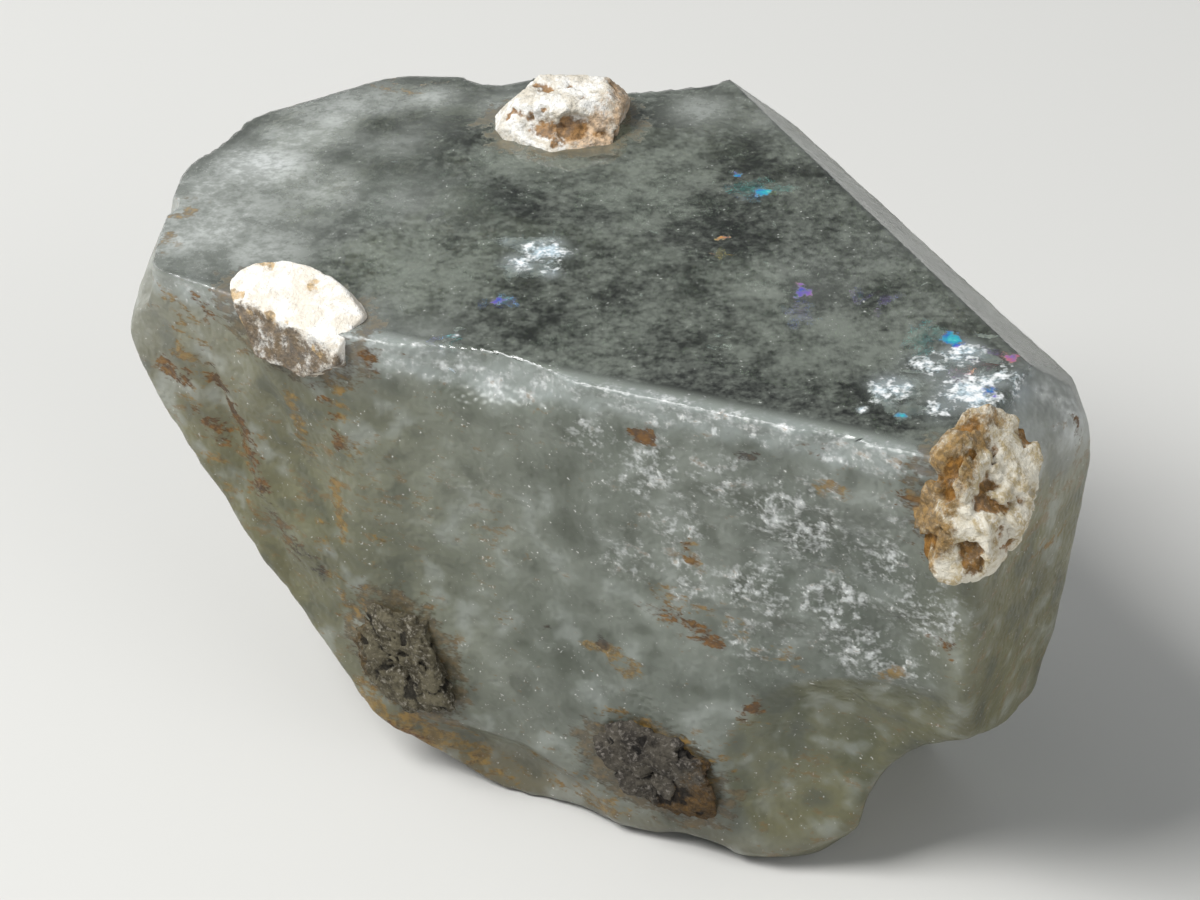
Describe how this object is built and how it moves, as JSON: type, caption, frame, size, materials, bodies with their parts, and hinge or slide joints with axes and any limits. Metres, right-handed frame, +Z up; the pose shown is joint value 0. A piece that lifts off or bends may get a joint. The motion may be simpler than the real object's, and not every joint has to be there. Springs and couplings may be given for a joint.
{
  "type": "goshenite crystal",
  "caption": "Rough, broken colourless beryl crystal with a large clear upper face, etched sides and remnants of its host rock, resting on a small flat spot.",
  "frame": {"origin": "centre of the bounding box in plan, at the height of the flat spot that the crystal rests on", "axes": "+Z up from the flat spot to the large clear face; +X along the crystal's length, to the right when its rough front is seen; -Y towards the viewer of that front"},
  "size_m": [0.0428, 0.0382, 0.0267],
  "materials": {
    "goshenite": "satin",
    "feldspar_white": "matte",
    "feldspar_cream": "matte",
    "feldspar_rusty": "matte",
    "crust_brown": "matte",
    "crust_grey": "matte"
  },
  "bodies": {
    "root": {"goshenite_crystal": "goshenite", "feldspar_lump_top": "feldspar_white", "feldspar_lump_left": "feldspar_cream", "feldspar_lump_right": "feldspar_rusty", "crust_lower_left": "crust_brown", "crust_lower_middle": "crust_grey"}
  },
  "joints": []
}
